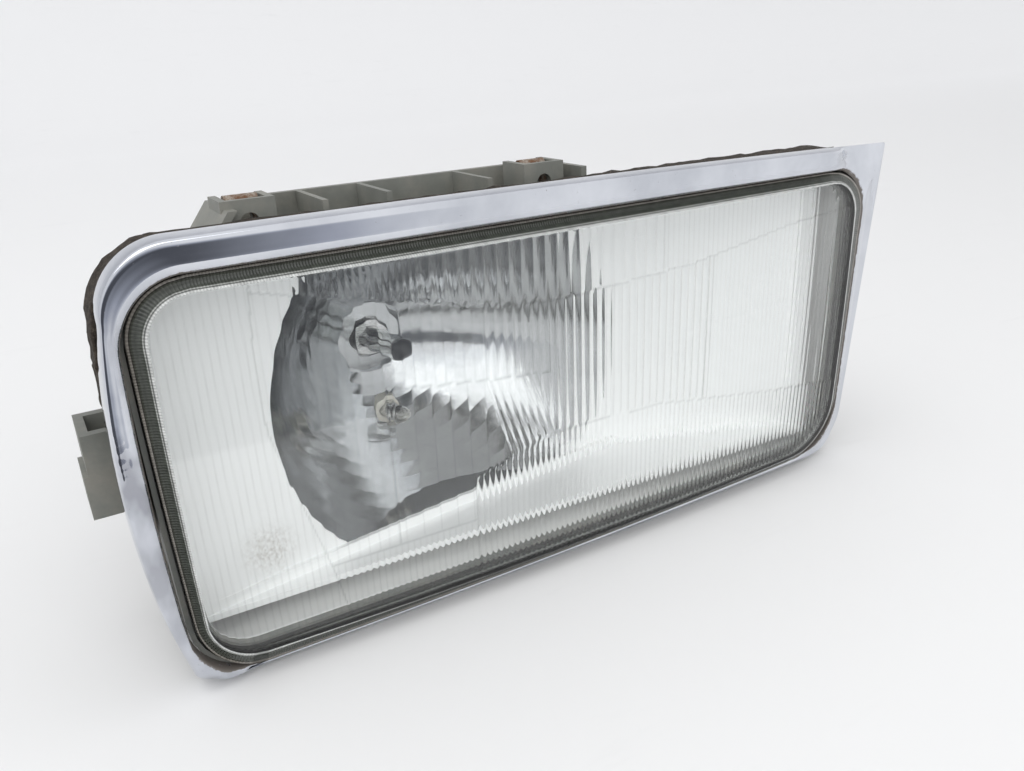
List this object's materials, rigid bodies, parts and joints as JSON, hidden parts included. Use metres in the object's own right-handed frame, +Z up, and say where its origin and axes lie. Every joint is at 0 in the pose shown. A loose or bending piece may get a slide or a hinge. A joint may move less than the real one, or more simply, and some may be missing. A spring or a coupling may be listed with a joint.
{
  "type": "car headlight",
  "caption": "Rectangular car headlight with a bright trim frame, fluted glass lens, tilting reflector, bulb and rear cover.",
  "frame": {"origin": "middle of the whole object's plan, at the level it stands on", "axes": "+X to the right as seen from the front, +Y back into the car, +Z up"},
  "size_m": [0.3496, 0.191, 0.1585],
  "materials": {
    "chrome_trim": "polished, lightly scratched",
    "foam": "dirty closed-cell foam",
    "lens_glass": "clear, fluted inside",
    "sealant": "black sealant",
    "housing_plastic": "moulded, fine grain",
    "frame_plastic": "moulded, dusty",
    "zinc_steel": "zinc plated",
    "rusty_steel": "rusted",
    "spring_steel": "bright",
    "nylon": "natural",
    "reflector_silver": "metallised mirror",
    "bulb_glass": "clear, dark tip",
    "bulb_insulator": "moulded",
    "filament": "dull",
    "black_plastic": "moulded",
    "black_rubber": "matt",
    "brass": "bright"
  },
  "bodies": {
    "lamp_body": {"housing": "housing_plastic", "lens": "lens_glass", "lens_gasket": "sealant", "chrome_bezel": "chrome_trim", "bezel_clips": "spring_steel", "weather_seal": "foam", "top_frame": "frame_plastic", "top_frame_screws": "zinc_steel", "spring_nuts": "rusty_steel", "side_bracket": "frame_plastic", "side_bracket_screws": "zinc_steel", "pivot_stud": "zinc_steel", "vertical_retainer": "spring_steel", "horizontal_retainer": "spring_steel", "cover_seal": "black_rubber", "breather_elbow": "black_rubber", "inlet_socket": "black_plastic", "inlet_seal": "black_rubber", "inlet_pins": "brass", "inlet_screws": "zinc_steel"},
    "gimbal": {"pivot_cup": "nylon"},
    "reflector_unit": {"reflector": "reflector_silver", "vertical_nut": "nylon", "horizontal_nut": "nylon", "seat_plate": "zinc_steel", "seat_plate_screws": "zinc_steel", "bulb_glass": "bulb_glass", "bulb_flange": "spring_steel", "bulb_insulator": "bulb_insulator", "bulb_terminals": "spring_steel", "bulb_filament": "filament"},
    "clip": {"bulb_clip": "spring_steel"},
    "parking_lamp": {"parking_holder": "nylon", "parking_bulb_base": "spring_steel", "parking_bulb_glass": "bulb_glass"},
    "vertical_adjuster": {"vertical_screw": "zinc_steel", "vertical_knob": "nylon"},
    "horizontal_adjuster": {"horizontal_screw": "zinc_steel", "horizontal_knob": "nylon"},
    "cover": {"rear_cover": "black_plastic"}
  },
  "joints": [
    {"name": "vertical_knob_turn", "type": "hinge", "parent": "lamp_body", "child": "vertical_adjuster", "pos_m": [0.09871, -0.00349, 0.117], "axis": [0, 1, 0], "range_deg": [-900, 900]},
    {"name": "horizontal_knob_turn", "type": "hinge", "parent": "lamp_body", "child": "horizontal_adjuster", "pos_m": [-0.12329, -0.00349, 0.031], "axis": [0, 1, 0], "range_deg": [-1800, 1800]},
    {"name": "reflector_yaw", "type": "hinge", "parent": "lamp_body", "child": "gimbal", "pos_m": [0.09871, -0.03149, 0.031], "axis": [0, 0, 1], "range_deg": [-2, 2]},
    {"name": "reflector_pitch", "type": "hinge", "parent": "gimbal", "child": "reflector_unit", "pos_m": [0.09871, -0.03149, 0.031], "axis": [1, 0, 0], "range_deg": [-2.6, 2.6]},
    {"name": "bulb_clip_hinge", "type": "hinge", "parent": "reflector_unit", "child": "clip", "pos_m": [-0.06162, 0.03041, 0.075], "axis": [0, 0, 1], "range_deg": [0, 90]},
    {"name": "parking_holder_twist", "type": "hinge", "parent": "reflector_unit", "child": "parking_lamp", "pos_m": [-0.04189, 0.02731, 0.041], "axis": [-0.1564, 0.9877, 0], "range_deg": [0, 30]},
    {"name": "rear_cover_twist", "type": "hinge", "parent": "lamp_body", "child": "cover", "pos_m": [-0.04189, 0.02731, 0.075], "axis": [-0.1564, 0.9877, 0], "range_deg": [0, 30]}
  ],
  "couplings": [
    {"joint": "reflector_pitch", "follows": "vertical_knob_turn", "ratio": 0.002776},
    {"joint": "reflector_yaw", "follows": "horizontal_knob_turn", "ratio": 0.0010754}
  ]
}
